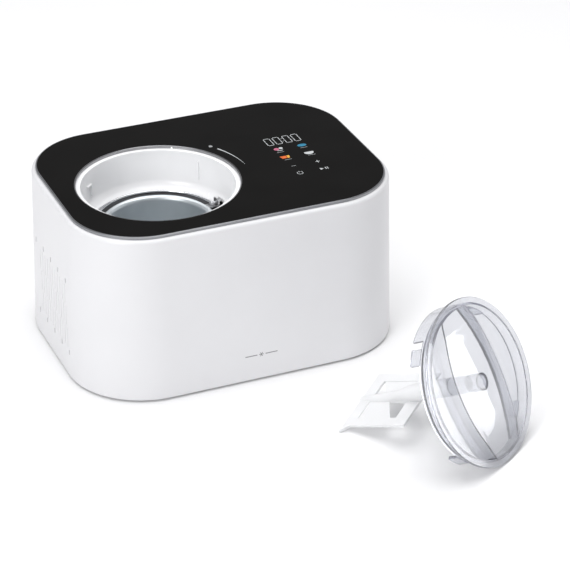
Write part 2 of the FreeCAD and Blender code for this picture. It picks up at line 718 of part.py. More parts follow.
keep("idler_gear", idler_gear(), IDLER)
keep("idler_pin", rod("IdlerPin", "2", "box_low + 0.4", "box_top - 0.4"), IDLER)
keep("motor_pinion", feature("MotorPinion", gear_shape(
    size("first_mod"), MOTOR_TEETH, size("motor_pin"), size("first_low - 0.6"),
    size("first_face + 1"), meshed(MOTOR_TEETH, DRIVE_ANGLE + 180))), MOTOR)

CASE_LOBES = (("Big", "0", "65"), ("Mid", CENTRES, "36"), ("End", CENTRES + " + " + FIRST_CENTRES, "24"))


def lobes(name, inset, low, high):
    """The gear case's outline: three overlapping rounds, one about each axle."""
    rounds = []
    for tag, distance, radius in CASE_LOBES:
        spot = at_angle(distance, DRIVE_ANGLE)
        rounds.append(rod(name + tag, f"{radius} - {inset}", low, high, spot[0], spot[1]))
    return fuse(name, *rounds)


def axle_spot(distance):
    return at_angle(distance, DRIVE_ANGLE)[:2]


COVER_LOW = "box_top - box_floor"
keep("gearbox_tray", cut("GearTray", lobes("TrayOuter", "0", "box_low", COVER_LOW),
                         lobes("TrayInner", "box_wall", "box_low + box_floor", COVER_LOW),
                         rod("TrayBushHole", "bush_r + 0.02", "0", "10"),
                         rod("TrayPinHole", "2.02", "box_low + 0.2", "10", *axle_spot(CENTRES))), WELL)
keep("gearbox_cover", cut("GearCover", lobes("CoverPlate", "0", COVER_LOW, "box_top"),
                          rod("CoverBushHole", "bush_r + 0.02", "0", "30"),
                          rod("CoverPinHole", "2.02", "0", "box_top - 0.2", *axle_spot(CENTRES)),
                          rod("CoverMotorHole", "6.1", "0", "30",
                              *axle_spot(CENTRES + " + " + FIRST_CENTRES))), WELL)
keep("spindle_bush_lower", tube("BushLower", "spindle + run", "bush_r", "box_low", "8.0"), WELL)
keep("spindle_bush_upper", tube("BushUpper", "spindle + run", "bush_r", "16.4", "22.4"), WELL)
keep("shaft_seal", turned("ShaftSeal", [
    ("spindle + run", "23"), ("7.9", "23"), ("7.9", "25.9"), ("spindle + 0.6", "25.9"),
    ("spindle + run", "25")]), WELL)

MOTOR_LOW = "box_top + 1.6"
MOTOR_HIGH = MOTOR_LOW + " + motor_len"
keep("motor_can", turned("MotorCan", [
    ("motor_pin + run", "box_top"), ("6", "box_top"), ("6", MOTOR_LOW), ("motor_r", MOTOR_LOW),
    ("motor_r", MOTOR_HIGH), ("motor_pin + run", MOTOR_HIGH), ("motor_pin + run", MOTOR_HIGH + " - 2"),
    ("motor_r - 1.6", MOTOR_HIGH + " - 2"), ("motor_r - 1.6", MOTOR_LOW + " + 2"),
    ("motor_pin + run", MOTOR_LOW + " + 2")]), MOTOR)
keep("motor_magnets", tube("MotorMagnets", "14.4", "motor_r - 1.6", "30", "70"), MOTOR)
keep("motor_armature", tube("MotorArmature", "motor_pin", "13.8", "31", "69"), MOTOR)
keep("motor_shaft", rod("MotorShaft", "motor_pin", "12.4", MOTOR_HIGH + " + 2"), MOTOR)

# ---- refrigeration ---------------------------------------------------------------------

COMPRESSOR = ("machine_x + comp_x", "machine_y + comp_y", "0")
comp_drum = rod("CompDrum", "comp_r", "comp_low", "comp_top")
keep("compressor_shell", fuse(
    "Compressor",
    rounded("CompRounded", comp_drum, "26", lambda edge: len(edge.Vertexes) == 1),
    rod("CompSeam", "comp_r + 2", "78", "81"),
    rod("CompProcessTube", "3", "130", "148", "-20", "12")), COMPRESSOR)
PLATE_HOLES = four_ways(52, 38)
keep("compressor_plate", plate("CompPlate", "124", "96", "12", "13", "comp_low",
                               *[("4", str(x), str(y)) for x, y in PLATE_HOLES]), COMPRESSOR)
keep("compressor_grommets", group("Grommets", *[
    cut(f"Grommet{i}", fuse(f"GrommetSolid{i}", rod(f"GrommetFoot{i}", "7", BASE_TOP, "13", x, y),
                            rod(f"GrommetNeck{i}", "3.9", "13", "comp_low + 2", x, y)),
        rod(f"GrommetBore{i}", "2.1", "0", "20", x, y))
    for i, (x, y) in enumerate(PLATE_HOLES)]), COMPRESSOR)
keep("compressor_studs", group("Studs", *[
    rod(f"Stud{i}", "2", BASE_TOP, "comp_low + 5", x, y)
    for i, (x, y) in enumerate(PLATE_HOLES)]), COMPRESSOR)
keep("terminal_cover", cut("TerminalCover", block("TerminalBox", ("-64", "-16", "48"), ("-44", "16", "84")),
                           rod("TerminalRelief", "comp_r + 2.3", "40", "90")), COMPRESSOR)


def condenser():
    """Upright fins on five crosswise tubes, joined at their ends by return bends."""
    low_y, high_y = "-cond_w/2", "cond_w/2"
    pieces = []
    fins = 23
    for i in range(fins):
        y = f"-cond_w/2 + 8 + {i}*(cond_w - 16)/{fins - 1}"
        pieces.append(block(f"Fin{i}", ("0", f"{y} - 0.4", "cond_low"),
                            ("cond_t", f"{y} + 0.4", "cond_high")))
    turn = Rotation(Vector(1, 0, 0), -90)
    heights = [f"cond_low + tube_first + {i}*tube_pitch" for i in range(5)]
    for i, z in enumerate(heights):
        pieces.append(solid("Cylinder", f"CondTube{i}", {"Radius": "3.5", "Height": "cond_w"},
                            ("cond_t/2", low_y, z), turn))
    for i, (z, above) in enumerate(zip(heights, heights[1:])):
        y = low_y if i % 2 else high_y
        pieces.append(rod(f"CondBend{i}", "3.5", z, above, "cond_t/2", y))
        for end, height in enumerate((z, above)):
            pieces.append(solid("Sphere", f"CondElbow{i}{end}", {"Radius": "3.5"}, ("cond_t/2", y, height)))
    return fuse("Condenser", *pieces)


keep("condenser", condenser(), ("machine_x + cond_x", "machine_y", "0"))

FAN = ("machine_x + fan_x", "machine_y", "fan_z")
ALONG_X = Rotation(Vector(0, 1, 0), 90)


def drum(name, radius, start, end, y=0, z=0):
    """A cylinder along X between two places."""
    sizes = {"Radius": radius, "Height": f"({end}) - ({start})"}
    return solid("Cylinder", name, sizes, (start, y, z), ALONG_X)


def fan_frame():
    side = "fan_side/2"
    frame = block("FanSquare", ("0", "-" + side, "-" + side), ("fan_t", side, side))
    holes = [drum("FanHole", "fan_hole", "-1", "fan_t + 1")]
    for i, (y, z) in enumerate(four_ways(41, 41)):
        holes.append(drum(f"FanScrewHole{i}", "2.2", "-1", "fan_t + 1", y, z))
    ring = cut("FanRing", frame, *holes)
    struts = [drum("FanSeat", "16", "0", "2")]
    for i in range(4):
        strut = block(f"FanStrut{i}", ("0", "10", "-2"), ("2", "fan_hole + 1", "2"))
        turned_by = Placement(Vector(), Rotation(Vector(1, 0, 0), 45 + 90 * i))
        strut.Placement = turned_by.multiply(strut.Placement)
        for axis in "xyz":
            strut.setExpression("Placement.Base." + axis, None)
        struts.append(strut)
    return cut("FanFrame", fuse("FanFrameSolid", ring, *struts), drum("FanAxleHole", "1.5", "-1", "3"))


keep("fan_frame", fan_frame(), FAN)
keep("fan_axle", drum("FanAxle", "1.5", "0", "fan_t - 2"), FAN)


def fan_blades():
    hub = Part.makeCylinder(15, 10, Vector(2.8, 0, 0), Vector(1, 0, 0))
    hub = hub.cut(Part.makeCylinder(13, 8, Vector(2.8, 0, 0), Vector(1, 0, 0)))
    boss = Part.makeCylinder(3.4, 9.6, Vector(3.2, 0, 0), Vector(1, 0, 0))
    shape = hub.fuse(boss)
    reach = size("fan_hole") - 1.6
    for i in range(7):
        blade = Part.makeBox(1.4, 19, reach - 13.6, Vector(-0.7, -9.5, 13.6))
        blade.rotate(Vector(0, 0, 0), Vector(0, 0, 1), 62)
        blade.translate(Vector(7.6, 0, 0))
        blade.rotate(Vector(0, 0, 0), Vector(1, 0, 0), i * 360 / 7)
        shape = shape.fuse(blade)
    swept = Part.makeCylinder(reach, 10, Vector(2.8, 0, 0), Vector(1, 0, 0))
    bore = Part.makeCylinder(size("1.5 + run"), 20, Vector(0, 0, 0), Vector(1, 0, 0))
    return feature("FanBlades", shape.common(swept).cut(bore))


keep("fan_blades", fan_blades(), FAN)


def pipe(name, radius, *points):
    """A bent tube: straight runs with a ball at each bend."""
    shape = None
    for start, end in zip(points, points[1:]):
        a, b = Vector(*start), Vector(*end)
        run = Part.makeCylinder(radius, (b - a).Length, a, b - a)
        shape = run if shape is None else shape.fuse(run)
    for spot in points[1:-1]:
        shape = shape.fuse(Part.makeSphere(radius, Vector(*spot)))
    return feature(name, shape)


def coil_end(height):
    """Where a line meets the coil inside the foam, in the machine's own frame."""
    reach = size(COIL_R + " + coil_tube + 0.05")
    angle = math.radians(LINE_ANGLE)
    return (size("well_x") + reach * math.cos(angle), size("well_y") + reach * math.sin(angle), height)


def foam_side(height, reach=96):
    angle = math.radians(LINE_ANGLE)
    return (size("well_x") + reach * math.cos(angle), size("well_y") + reach * math.sin(angle), height)


COMP_LID = size("comp_top")
TUBE_LOW = size("cond_low + tube_first")
TUBE_HIGH = size("cond_low + tube_first + 4*tube_pitch")
TUBE_X = size("cond_x + cond_t/2")
TUBE_END = size("cond_w/2")
keep("suction_line", pipe("SuctionLine", 3.2, coil_end(108), foam_side(108), (40, 0, 156), (80, -20, 156),
                          (80, -20, COMP_LID)))
keep("capillary_tube", pipe("CapillaryTube", 1.2, coil_end(66), foam_side(66), (34, 40, 66), (60, 78, 66),
                            (90, 92, 66), (90, 92, 76)))
keep("filter_drier", fuse("FilterDrier", rod("DrierBody", "8.5", "80", "128", "90", "92"),
                          rod("DrierLow", "3", "76", "80", "90", "92"),
                          rod("DrierHigh", "4", "128", "133", "90", "92")))
keep("drier_line", pipe("DrierLine", 2.6, (90, 92, 133), (90, 92, 158), (TUBE_X, 92, 158),
                        (TUBE_X, 92, TUBE_HIGH), (TUBE_X, TUBE_END, TUBE_HIGH)))
keep("discharge_line", pipe("DischargeLine", 2.6, (97, -47, COMP_LID), (97, -47, 158), (150, -84, 120),
                            (TUBE_X, -TUBE_END - 14, TUBE_LOW), (TUBE_X, -TUBE_END, TUBE_LOW)))

# ---- electrics -------------------------------------------------------------------------

keep("power_board", fuse("PowerBoard",
                         block("BoardSheet", ("-90", "112", "60"), ("-6", "113.6", "124")),
                         block("BoardChoke", ("-30", "96", "66"), ("-12", "112", "84")),
                         rod("BoardCap", "7", "88", "112", "-40", "104"),
                         block("BoardCapFoot", ("-44", "104", "92"), ("-36", "112", "96")),
                         block("BoardRelay", ("-84", "98", "96"), ("-64", "112", "112"))))
keep("board_bracket", fuse("BoardBracket",
                           block("BracketBack", ("-92", "113.6", BASE_TOP), ("-4", "115.2", "126")),
                           block("BracketFoot", ("-92", "113.6", BASE_TOP), ("-4", "128", "7"))))
inlet_body = block("InletBody", ("-136", "128", "32"), ("-104", "146.6", "56"))
inlet_flange = block("InletFlange", ("-140", "130", "28"), ("-100", "134", "60"))
inlet_socket = block("InletSocket", ("-132", "133", "36"), ("-108", "148", "52"))
keep("mains_inlet", cut("MainsInlet", fuse("InletSolid", inlet_body, inlet_flange), inlet_socket))
keep("inlet_pins", group("InletPins", *[
    block(f"InletPin{i}", (x - 2, "133", z - 0.8), (x + 2, "143", z + 0.8))
    for i, (x, z) in enumerate([(-127, 42), (-113, 42), (-120, 47)])]))

switch_spot = at_angle("liner_r + 4", SWITCH_ANGLE)
keep("lid_switch", cut("LidSwitch", side_block("SwitchBody", SWITCH_ANGLE, "liner_r + liner_t + 0.2", "100",
                                               "8", "188", "200.6"),
                       rod("SwitchBore", "1.0 + run", "192", "210", *switch_spot[:2])), WELL)
keep("lid_switch_plunger", rod("SwitchPlunger", "1.0", "195", LEDGE_Z + " + 2", *switch_spot[:2]), WELL)

# ---- lid and paddle --------------------------------------------------------------------
# Both are drawn about the lid's own axis: z = 0 is the flange's outer face and -z points
# into the machine.  Local +X points to the left and towards the table's front edge.

TILT = math.radians(size("lid_tilt"))
AZIMUTH = math.radians(size("lid_azimuth"))
LID_AXIS = Vector(math.cos(TILT) * math.cos(AZIMUTH), math.cos(TILT) * math.sin(AZIMUTH), math.sin(TILT))
ACROSS = LID_AXIS.cross(Vector(0, 0, 1)).normalize()
DOWN = LID_AXIS.cross(ACROSS)
LID_TURN = Rotation(ACROSS, DOWN, LID_AXIS, "ZXY")
LID_HEIGHT = f"lid_r*{math.cos(TILT):.6f} + flange_t*{math.sin(TILT):.6f}"
LID_AT = ("machine_x + lid_x", "machine_y + lid_y", LID_HEIGHT)
DEEP_START = -104
DEEP_SWEEP = 46
LUG_STARTS = (-51, 39, 129, 219)
LUG_SWEEP = 12


def wedge(name, inner, outer, low, high, start, sweep):
    """Part of a ring about Z."""
    sizes = {"Height": f"({high}) - ({low})", "Angle": str(sweep)}
    big = solid("Cylinder", name + "Outer", dict(sizes, Radius=outer), ("0", "0", low), turn_z(start))
    small = rod(name + "Inner", inner, low, high)
    return cut(name, big, small)


def grip_block(name, inset, low):
    """The grip: a lens-shaped bar across the lid whose top is crowned both ways."""
    half, end, reach = "grip_half", "grip_end", "76"
    bow = f"({reach}*{reach} + ({half} - {end})^2)/(2*({half} - {end}))"
    sides = []
    for tag, sign in (("A", 1), ("B", -1)):
        sides.append(rod(name + "Side" + tag, f"{bow} - {inset}", low, "crown + 2",
                         f"{sign}*({half} - {bow})", "0"))
    disc = rod(name + "Disc", f"pocket_r + 0.8 - {inset}", low, "crown + 2")
    across_r = "(grip_half*grip_half + crown*crown)/(2*crown)"
    along_r = "(pocket_r*pocket_r + crown*crown)/(2*crown)"
    over_x = solid("Cylinder", name + "CrownX", {"Radius": f"{across_r} - {inset}", "Height": "240"},
                   ("0", "-120", f"crown - {across_r}"), Rotation(Vector(1, 0, 0), -90))
    over_y = solid("Cylinder", name + "CrownY", {"Radius": f"{along_r} - {inset}", "Height": "240"},
                   ("-120", "0", f"crown - {along_r}"), Rotation(Vector(0, 1, 0), 90))
    return common(name, *sides, disc, over_x, over_y)


def lid_cover():
    skirt_r = "pocket_r + lid_wall"
    floor_z = "-pocket_drop - lid_wall"
    cup = turned("LidCup", [
        ("0", "-pocket_drop"), ("pocket_r", "-pocket_drop"), ("pocket_r", "0"), ("lid_r - 0.8", "0"),
        ("lid_r", "-0.8"), ("lid_r", "-flange_t"), (skirt_r, "-flange_t"), (skirt_r, "-skirt_drop"),
        ("pocket_r", "-skirt_drop"), ("pocket_r", floor_z), ("0", floor_z)])
    pieces = [cup, grip_block("GripOuter", "0", "-pocket_drop - 0.4")]
    pieces.append(wedge("DeepSkirt", "pocket_r", skirt_r, "-deep_drop", "-skirt_drop + 1", DEEP_START,
                        DEEP_SWEEP))
    for i, start in enumerate(LUG_STARTS):
        pieces.append(wedge(f"Lug{i}", "pocket_r", skirt_r + " + 1.2", "2 - deep_drop", "-skirt_drop + 1",
                            start, LUG_SWEEP))
    whole = fuse("LidSolid", *pieces)
    hollow = grip_block("GripInner", "lid_wall", "-skirt_drop - 1")
    outer = rod("LidTubeOuter", "10", "-38", "crown - lid_wall + 0.6")
    bore = rod("LidTubeBore", "7.6", "-39", "-1.5")
    return fuse("LidCover", cut("LidHollow", whole, hollow), cut("LidTube", outer, bore))


keep("lid_cover", lid_cover(), LID_AT, LID_TURN)
keep("lid_bush", tube("LidBush", "stub_r + run", "7.6", "-38", "-16"), LID_AT, LID_TURN)


def flat_sheet(name, thick, *outlines):
    """A sheet centred on the hub's axis; the first outline is its edge, the others are windows."""
    body = doc.addObject("PartDesign::Body", name)
    sketch = sketch_on(body, name + "Outline", "XZ_Plane")
    for outline in outlines:
        polygon(sketch, outline)
    pad = padded(body, sketch, thick)
    pad.Midplane = True
    return body


def paddle():
    """An open frame on a hub, with a thin web in part of each window; it leans back along the hub."""
    foot, start = "-blade_foot", "-blade_start"
    low, high = foot + " + 14", start + " - 17"
    right, left = "blade_right - 13", "14 - blade_left"
    frame = flat_sheet(
        "Blade", "blade_t",
        [("-blade_left", foot), ("blade_tip", foot), ("blade_right", foot + " + 9"), ("blade_right", start),
         ("-blade_left", start)],
        [("6", low), (right, low), (right, high), ("6", high)],
        [("-6", low), ("-6", high), (left, high), (left, low)])
    webs = [
        flat_sheet("WebRight", "web_t",
                   [("5", low + " - 1"), (right + " + 1", low + " - 1"), (right + " + 1", "-109.5"),
                    ("5", "-127")]),
        flat_sheet("WebLeft", "web_t",
                   [("-5", high + " + 1"), ("-5", "-136"), (left + " - 1", "-151"),
                    (left + " - 1", high + " + 1")])]
    lean = Rotation(Vector(1, 0, 0), -size("blade_lean"))
    pivot = Vector(0, 0, -145)
    leaning = Placement(pivot - lean.multVec(pivot), lean)
    for sheet_body in (frame, *webs):
        sheet_body.Placement = leaning
    end = "-paddle_end"
    hub = turned("Hub", [
        ("0", end), ("stub_r", end), ("stub_r", "-112"), ("9.6", "-98"), ("10.4", "-70"), ("10.4", "-40"),
        ("stub_r", "-40"), ("stub_r", "-16.5"), ("0", "-16.5")])
    socket = flatted("PaddleSocket", "bowl_pin + 0.15", end + " - 5", end + " + 14", end + " - 5", "2.15")
    joined = fuse("PaddleSolid", frame, *webs, hub)
    joined.Refine = False
    return cut("Paddle", joined, socket)


PADDLE_TURN = LID_TURN.multiply(turn_z(size("paddle_turn")))
keep("paddle", paddle(), LID_AT, PADDLE_TURN)

# ---- checks and export -----------------------------------------------------------------

doc.recompute()
for item in doc.Objects:
    if "Invalid" in item.State or "Error" in item.State:
        raise RuntimeError(f"{item.Name} ({item.Label}) failed: {item.State}")
for item in SUBPARTS:
    shape = item.Shape
    if shape.isNull() or not shape.isValid() or not shape.Solids:
        raise RuntimeError(f"{item.Label} has no valid solid")
box = FreeCAD.BoundBox()
for item in SUBPARTS:
    item.Shape.exportStep(f"parts/{item.Label}.step")
    box.add(item.Shape.BoundBox)
    print(f"{item.Label:22s} {len(item.Shape.Solids)} solids {item.Shape.Volume / 1000:9.2f} cm3")
print(f"{len(SUBPARTS)} sub-parts, box {box}")
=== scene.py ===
import json
import math

import bmesh
import bpy
from mathutils import Matrix, Vector


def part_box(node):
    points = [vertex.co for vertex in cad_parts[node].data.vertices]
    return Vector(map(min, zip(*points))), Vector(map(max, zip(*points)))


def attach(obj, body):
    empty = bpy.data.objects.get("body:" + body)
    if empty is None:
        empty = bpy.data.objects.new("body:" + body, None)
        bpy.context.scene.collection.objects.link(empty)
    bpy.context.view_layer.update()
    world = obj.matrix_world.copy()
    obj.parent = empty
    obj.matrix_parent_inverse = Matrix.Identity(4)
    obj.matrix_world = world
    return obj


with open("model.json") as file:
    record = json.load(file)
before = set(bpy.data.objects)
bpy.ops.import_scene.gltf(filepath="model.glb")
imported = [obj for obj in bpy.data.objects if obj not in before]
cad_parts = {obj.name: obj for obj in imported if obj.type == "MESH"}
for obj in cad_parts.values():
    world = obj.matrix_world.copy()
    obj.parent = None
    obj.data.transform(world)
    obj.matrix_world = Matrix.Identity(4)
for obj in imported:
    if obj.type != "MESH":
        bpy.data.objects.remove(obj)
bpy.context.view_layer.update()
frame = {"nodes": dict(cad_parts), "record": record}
NODES = frame["nodes"]
MM = 0.001
scene = bpy.context.scene

# ---- places worked out from the frame ----------------------------------------------------

panel_low, panel_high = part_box("panel_glass")
MACHINE = Vector(((panel_low.x + panel_high.x) / 2, (panel_low.y + panel_high.y) / 2, 0))
PANEL_TOP = panel_high.z
cup_low, cup_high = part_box("evaporator_cup")
WELL = Vector(((cup_low.x + cup_high.x) / 2, (cup_low.y + cup_high.y) / 2, 0))
SHELL_LOW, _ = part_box("outer_shell")

lid_low, lid_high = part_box("lid_cover")
LID = (lid_low + lid_high) / 2

# ---- camera and studio -------------------------------------------------------------------

CAMERA_AT = Vector((-0.9353, -2.2409, 1.4785))
CAMERA_AIM = Vector((0.0186, 0.0225, 0.1030))
LENS, SENSOR = 154.4, 36.0
FAR_CLIP = 60

SKY_COLOUR = (0.9, 0.9, 0.925, 1)
SKY_STRENGTH = 0.3
# name, place, point aimed at, width and height in metres, watts
SOFTBOXES = (
    ("Overhead", (0.1, 0.2, 2.6), (0, 0, 0), (3.2, 3.2), 80),
    ("LeftFront", (-2.5, -1.7, 1.3), (-0.1, 0, 0.1), (1.4, 1.4), 52),
    ("Front", (-0.6, -3.2, 0.9), (0, 0, 0.1), (1.2, 0.9), 3),
    ("LidSide", (1.861, -0.775, 0.2), LID, (0.66, 0.6), 5.4),
)


def camera():
    data = bpy.data.cameras.new("Camera")
    data.lens, data.sensor_width = LENS, SENSOR
    data.clip_end = FAR_CLIP
    item = bpy.data.objects.new("Camera", data)
    item.location = CAMERA_AT
    item.rotation_mode = "QUATERNION"
    item.rotation_quaternion = (CAMERA_AIM - CAMERA_AT).to_track_quat("-Z", "Y")
    scene.collection.objects.link(item)
    scene.camera = item


def softbox(name, at, aim, size, power):
    """A soft area light of a width and a height in metres, turned towards a point."""
    data = bpy.data.lights.new(name, "AREA")
    data.shape = "RECTANGLE"
    data.size, data.size_y = size
    data.energy = power
    item = bpy.data.objects.new(name, data)
    item.location = at
    item.rotation_mode = "QUATERNION"
    item.rotation_quaternion = (Vector(aim) - Vector(at)).to_track_quat("-Z", "Y")
    scene.collection.objects.link(item)


def studio():
    """Soft light from above, the left and the front, and a small one that glints on the lid."""
    scene.view_settings.view_transform = "Standard"
    world = bpy.data.worlds.new("Studio")
    scene.world = world
    world.use_nodes = True
    sky = world.node_tree.nodes["Background"]
    sky.inputs["Color"].default_value = SKY_COLOUR
    sky.inputs["Strength"].default_value = SKY_STRENGTH
    for box in SOFTBOXES:
        softbox(*box)


# ---- materials ---------------------------------------------------------------------------

# What thick stretches of the clear plastic turn towards.
EDGE_TINT = (0.2, 0.21, 0.33, 1)
NOISE_SPAN = (0.3, 0.7)


def surface(name, colour, rough, metal=0.0, shade=0.04, rough_spread=0.06, blotch=18.0, grain=1400.0,
            grain_depth=0.015, stretch=(1, 1, 1), coat=0.0, specular=0.5, clear=0.0, ior=1.49, soft=0.0,
            glow=0.0, absorb=0.0):
    """A shader whose colour and roughness drift slowly over the piece, with a fine moulded grain.

    grain_depth is in millimetres; stretch draws the grain out along an axis, as brushing does;
    absorb is how strongly the inside takes up light, per metre, in EDGE_TINT.
    """
    material = bpy.data.materials.new(name)
    material.use_nodes = True
    tree = material.node_tree
    shader = tree.nodes["Principled BSDF"]
    shader.inputs["Metallic"].default_value = metal
    shader.inputs["Coat Weight"].default_value = coat
    shader.inputs["Coat Roughness"].default_value = 0.08
    shader.inputs["Specular IOR Level"].default_value = specular
    shader.inputs["Transmission Weight"].default_value = clear
    shader.inputs["IOR"].default_value = ior
    shader.inputs["Subsurface Weight"].default_value = soft
    shader.inputs["Subsurface Radius"].default_value = (0.004, 0.004, 0.004)
    # glow is emission in the piece's own colour: back-lit print on the panel, and painted light on
    # bush_white.
    if glow:
        shader.inputs["Emission Color"].default_value = (*colour, 1)
        shader.inputs["Emission Strength"].default_value = glow
    if absorb:
        depth = tree.nodes.new("ShaderNodeVolumeAbsorption")
        depth.inputs["Color"].default_value = EDGE_TINT
        depth.inputs["Density"].default_value = absorb
        tree.links.new(depth.outputs["Volume"], tree.nodes["Material Output"].inputs["Volume"])
    place = tree.nodes.new("ShaderNodeTexCoord")
    stretched = tree.nodes.new("ShaderNodeMapping")
    stretched.inputs["Scale"].default_value = stretch
    tree.links.new(place.outputs["Object"], stretched.inputs["Vector"])

    slow = tree.nodes.new("ShaderNodeTexNoise")
    slow.inputs["Scale"].default_value = blotch
    slow.inputs["Detail"].default_value = 4
    tree.links.new(place.outputs["Object"], slow.inputs["Vector"])
    ramp = tree.nodes.new("ShaderNodeValToRGB")
    dark, light = ramp.color_ramp.elements
    dark.position, light.position = NOISE_SPAN
    dark.color = (*[c * (1 - shade) for c in colour], 1)
    light.color = (*[min(1, c * (1 + shade * 0.6)) for c in colour], 1)
    tree.links.new(slow.outputs["Fac"], ramp.inputs["Fac"])
    tree.links.new(ramp.outputs["Color"], shader.inputs["Base Color"])

    fine = tree.nodes.new("ShaderNodeTexNoise")
    fine.inputs["Scale"].default_value = grain
    fine.inputs["Detail"].default_value = 3
    tree.links.new(stretched.outputs["Vector"], fine.inputs["Vector"])
    spread = tree.nodes.new("ShaderNodeMapRange")
    spread.inputs["From Min"].default_value = NOISE_SPAN[0]
    spread.inputs["From Max"].default_value = NOISE_SPAN[1]
    spread.inputs["To Min"].default_value = max(0.01, rough - rough_spread)
    spread.inputs["To Max"].default_value = min(1, rough + rough_spread)
    source = fine if stretch != (1, 1, 1) else slow
    tree.links.new(source.outputs["Fac"], spread.inputs["Value"])
    tree.links.new(spread.outputs["Result"], shader.inputs["Roughness"])
    bump = tree.nodes.new("ShaderNodeBump")
    bump.inputs["Strength"].default_value = 0.5
    bump.inputs["Distance"].default_value = grain_depth * MM
    tree.links.new(fine.outputs["Fac"], bump.inputs["Height"])
    tree.links.new(bump.outputs["Normal"], shader.inputs["Normal"])
    return material


BRUSHED = (1, 1, 30)
FINISHES = {
    "white_shell": dict(colour=(0.7, 0.7, 0.715), rough=0.34, shade=0.012, grain=2600, grain_depth=0.006),
    "base_grey": dict(colour=(0.46, 0.46, 0.475), rough=0.6, grain=1800, grain_depth=0.03),
    "rubber_black": dict(colour=(0.02, 0.02, 0.02), rough=0.85, shade=0.2, grain=900, grain_depth=0.05),
    "screw_steel": dict(colour=(0.55, 0.55, 0.54), rough=0.33, metal=1, grain=700, stretch=(1, 1, 6)),
    "black_glass": dict(colour=(0.006, 0.0057, 0.0054), rough=0.12, shade=0.15, rough_spread=0.02,
                        grain=160, grain_depth=0.002, specular=0.07),
    "trim_silver": dict(colour=(0.3, 0.305, 0.32), rough=0.33, metal=0.85, grain=1500, stretch=BRUSHED),
    "bezel_silver": dict(colour=(0.3, 0.3, 0.31), rough=0.3, metal=0.9, grain=1500, grain_depth=0.002),
    "display_black": dict(colour=(0.01, 0.01, 0.012), rough=0.4, grain=900),
    "board_green": dict(colour=(0.01, 0.09, 0.035), rough=0.38, shade=0.25, blotch=120, grain=600),
    "spring_brass": dict(colour=(0.72, 0.52, 0.2), rough=0.28, metal=1, grain=900),
    "liner_white": dict(colour=(0.93, 0.93, 0.94), rough=0.22, shade=0.01, grain=1900, grain_depth=0.003),
    "gasket_dark": dict(colour=(0.05, 0.05, 0.055), rough=0.7, shade=0.2, grain=800, grain_depth=0.04),
    "cup_aluminium": dict(colour=(0.6, 0.62, 0.64), rough=0.38, metal=1, grain=900, stretch=BRUSHED),
    "copper_tube": dict(colour=(0.74, 0.33, 0.19), rough=0.3, metal=1, shade=0.15, blotch=60, grain=900),
    "foam_cream": dict(colour=(0.72, 0.62, 0.36), rough=0.9, shade=0.12, blotch=90, grain=420,
                       grain_depth=0.3),
    "bowl_metal": dict(colour=(0.66, 0.7, 0.725), rough=0.4, metal=0.85, shade=0.08, grain=700,
                       grain_depth=0.006, stretch=(1, 1, 14)),
    "ear_steel": dict(colour=(0.5, 0.5, 0.51), rough=0.3, metal=1, grain=900, stretch=BRUSHED),
    "wire_steel": dict(colour=(0.68, 0.69, 0.71), rough=0.14, metal=1, grain=900, grain_depth=0.004),
    # bush_white glows: this is painted light, an emission that lightens the bush where it sits in shade
    # inside the clear lid. It is no lamp.
    "bush_white": dict(colour=(0.9, 0.9, 0.9), rough=0.45, grain=1200, glow=0.32),
    "pin_steel": dict(colour=(0.58, 0.58, 0.59), rough=0.22, metal=1, grain=1200, stretch=(1, 1, 9)),
    "bronze": dict(colour=(0.5, 0.3, 0.13), rough=0.45, metal=1, shade=0.2, blotch=400, grain=1100),
    "coupler_black": dict(colour=(0.018, 0.018, 0.02), rough=0.5, shade=0.2, grain=1300, grain_depth=0.03),
    "gear_nylon": dict(colour=(0.78, 0.74, 0.6), rough=0.42, grain=1100, soft=0.15),
    "case_black": dict(colour=(0.024, 0.024, 0.026), rough=0.55, shade=0.2, grain=1300, grain_depth=0.04),
    "motor_steel": dict(colour=(0.48, 0.48, 0.5), rough=0.3, metal=1, shade=0.1, blotch=200, grain=900),
    "magnet_grey": dict(colour=(0.05, 0.05, 0.052), rough=0.7, shade=0.25, blotch=200, grain=900,
                        grain_depth=0.05),
    "armature": dict(colour=(0.32, 0.14, 0.06), rough=0.35, metal=0.6, shade=0.3, grain=500,
                     stretch=(20, 20, 1)),
    "compressor_black": dict(colour=(0.008, 0.008, 0.009), rough=0.24, shade=0.3, grain=260,
                             grain_depth=0.05, coat=0.4),
    "plate_steel": dict(colour=(0.03, 0.03, 0.034), rough=0.42, shade=0.25, grain=500, grain_depth=0.03),
    "fin_aluminium": dict(colour=(0.62, 0.63, 0.65), rough=0.32, metal=1, grain=800, stretch=BRUSHED),
    "fan_black": dict(colour=(0.014, 0.014, 0.015), rough=0.4, shade=0.2, grain=1300, grain_depth=0.02),
    "inlet_black": dict(colour=(0.014, 0.014, 0.015), rough=0.5, shade=0.2, grain=1500, grain_depth=0.04),
    "clear_lid": dict(colour=(0.93, 0.94, 0.965), rough=0.035, shade=0.006, rough_spread=0.012, grain=40,
                      grain_depth=0.004, clear=0.87, absorb=50.0),
    "paddle_white": dict(colour=(0.94, 0.945, 0.955), rough=0.36, shade=0.01, grain=1500, grain_depth=0.006,
                         clear=0.35, soft=0.1),
}
MATERIALS = {}


def finish_of(slot):
    if slot not in MATERIALS:
        MATERIALS[slot] = surface(slot, **FINISHES[slot])
    return MATERIALS[slot]


SMOOTH_ANGLE = math.radians(32)
WELD_REACH = 0.001 * MM


def smooth(item):
    """Rounds stay smooth and real corners stay sharp."""
    weld = item.modifiers.new("Weld", "WELD")
    weld.merge_threshold = WELD_REACH
    edges = item.modifiers.new("Corners", "EDGE_SPLIT")
    edges.split_angle = SMOOTH_ANGLE
    for face in item.data.polygons:
        face.use_smooth = True


def dress_frame():
    for row in frame["record"]["subparts"]:
        item = NODES[row["node"]]
        item.data.materials.clear()
        item.data.materials.append(finish_of(row["material_slot"]))
        smooth(item)


# ---- new pieces --------------------------------------------------------------------------


